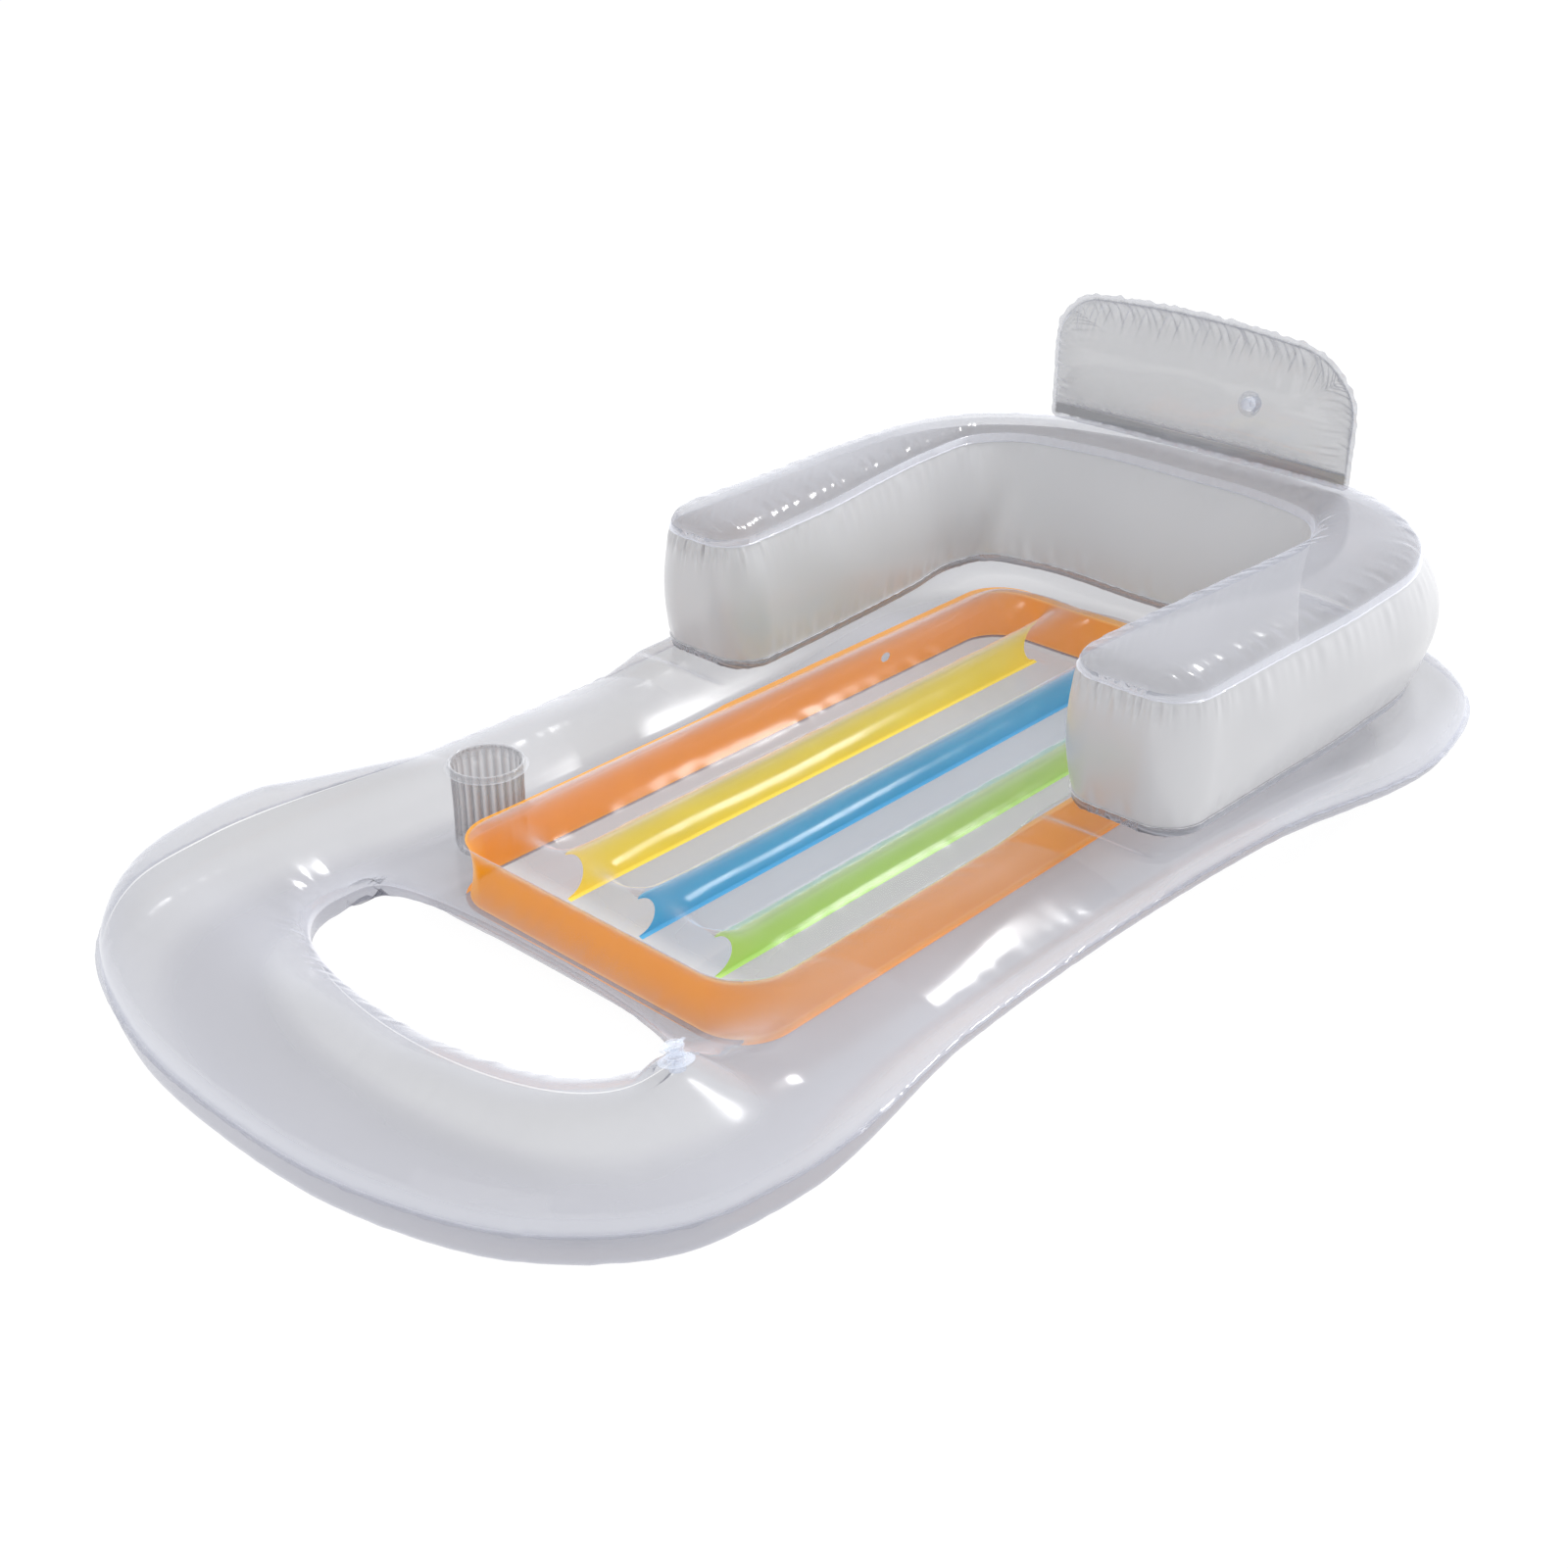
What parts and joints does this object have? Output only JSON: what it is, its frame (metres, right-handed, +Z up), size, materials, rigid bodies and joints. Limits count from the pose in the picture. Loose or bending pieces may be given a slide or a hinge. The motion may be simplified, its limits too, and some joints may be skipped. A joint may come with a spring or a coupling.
{
  "type": "inflatable pool lounger",
  "caption": "Inflatable pool lounger with raised ring, foot opening, striped air panel, U-shaped armrest bolster, headrest and cup holder.",
  "frame": {"origin": "middle of the underside, on the ground", "axes": "+Z up; +Y from the foot opening to the headrest; -X towards the side with the cup holder"},
  "size_m": [0.9, 1.5757, 0.4471],
  "materials": {
    "clear_film": "clear glossy PVC film",
    "pearl_film": "satin pearl grey PVC film",
    "smoke_film": "smoky clear PVC film",
    "orange_film": "transparent orange PVC film",
    "yellow_film": "transparent yellow PVC film",
    "blue_film": "transparent blue PVC film",
    "green_film": "transparent green PVC film",
    "valve_vinyl": "moulded clear bluish soft PVC"
  },
  "bodies": {
    "base": {"base_top_sheet": "clear_film", "base_bottom_sheet": "clear_film", "orange_band": "orange_film", "yellow_beam": "yellow_film", "blue_beam": "blue_film", "green_beam": "green_film", "cup_holder_sleeve": "smoke_film", "cup_holder_floor": "smoke_film", "bolster_wall": "pearl_film", "bolster_top_sheet": "clear_film", "bolster_bottom_sheet": "clear_film", "base_valve_flange": "valve_vinyl", "bolster_valve_flange": "valve_vinyl"},
    "headrest": {"headrest_front_sheet": "clear_film", "headrest_back_sheet": "clear_film", "headrest_valve_flange": "valve_vinyl"},
    "base_valve_stem": {"base_valve_stem": "valve_vinyl"},
    "base_valve_plug": {"base_valve_plug": "valve_vinyl"},
    "base_valve_flap": {"base_valve_flap": "valve_vinyl"},
    "bolster_valve_stem": {"bolster_valve_stem": "valve_vinyl"},
    "bolster_valve_plug": {"bolster_valve_plug": "valve_vinyl"},
    "bolster_valve_flap": {"bolster_valve_flap": "valve_vinyl"},
    "headrest_valve_stem": {"headrest_valve_stem": "valve_vinyl"},
    "headrest_valve_plug": {"headrest_valve_plug": "valve_vinyl"},
    "headrest_valve_flap": {"headrest_valve_flap": "valve_vinyl"}
  },
  "joints": [
    {"name": "headrest_tilt", "type": "hinge", "parent": "base", "child": "headrest", "pos_m": [0, 0.66492, 0.27011], "axis": [1, 0, 0], "range_deg": [-20, 30], "stiffness_Nm_per_rad": 1.2},
    {"name": "base_stem_push", "type": "slide", "parent": "base", "child": "base_valve_stem", "axis": [0.2301, -0.0376, -0.9724], "range_m": [0, 0.007]},
    {"name": "base_plug_swing", "type": "hinge", "parent": "base_valve_stem", "child": "base_valve_plug", "pos_m": [0.28245, -0.54002, 0.12848], "axis": [0.9731, 0, 0.2303], "range_deg": [0, 150]},
    {"name": "base_flap_open", "type": "hinge", "parent": "base_valve_stem", "child": "base_valve_flap", "pos_m": [0.28757, -0.52234, 0.10685], "axis": [0.9731, 0, 0.2303], "range_deg": [0, 60], "stiffness_Nm_per_rad": 0.0005},
    {"name": "bolster_stem_push", "type": "slide", "parent": "base", "child": "bolster_valve_stem", "axis": [0.0033, -1, -0.0044], "range_m": [0, 0.007]},
    {"name": "bolster_plug_swing", "type": "hinge", "parent": "bolster_valve_stem", "child": "bolster_valve_plug", "pos_m": [0.03208, 0.78063, 0.15556], "axis": [-1, -0.0033, 0], "range_deg": [0, 150]},
    {"name": "bolster_flap_open", "type": "hinge", "parent": "bolster_valve_stem", "child": "bolster_valve_flap", "pos_m": [0.03216, 0.759, 0.17397], "axis": [-1, -0.0033, 0], "range_deg": [0, 60], "stiffness_Nm_per_rad": 0.0005},
    {"name": "headrest_stem_push", "type": "slide", "parent": "headrest", "child": "headrest_valve_stem", "axis": [-0.0029, -0.9801, 0.1984], "range_m": [0, 0.007]},
    {"name": "headrest_plug_swing", "type": "hinge", "parent": "headrest_valve_stem", "child": "headrest_valve_plug", "pos_m": [0.05228, 0.71116, 0.3202], "axis": [-1, 0.003, 0], "range_deg": [0, 150]},
    {"name": "headrest_flap_open", "type": "hinge", "parent": "headrest_valve_stem", "child": "headrest_valve_flap", "pos_m": [0.05223, 0.6937, 0.34261], "axis": [-1, 0.003, 0], "range_deg": [0, 60], "stiffness_Nm_per_rad": 0.0005}
  ]
}
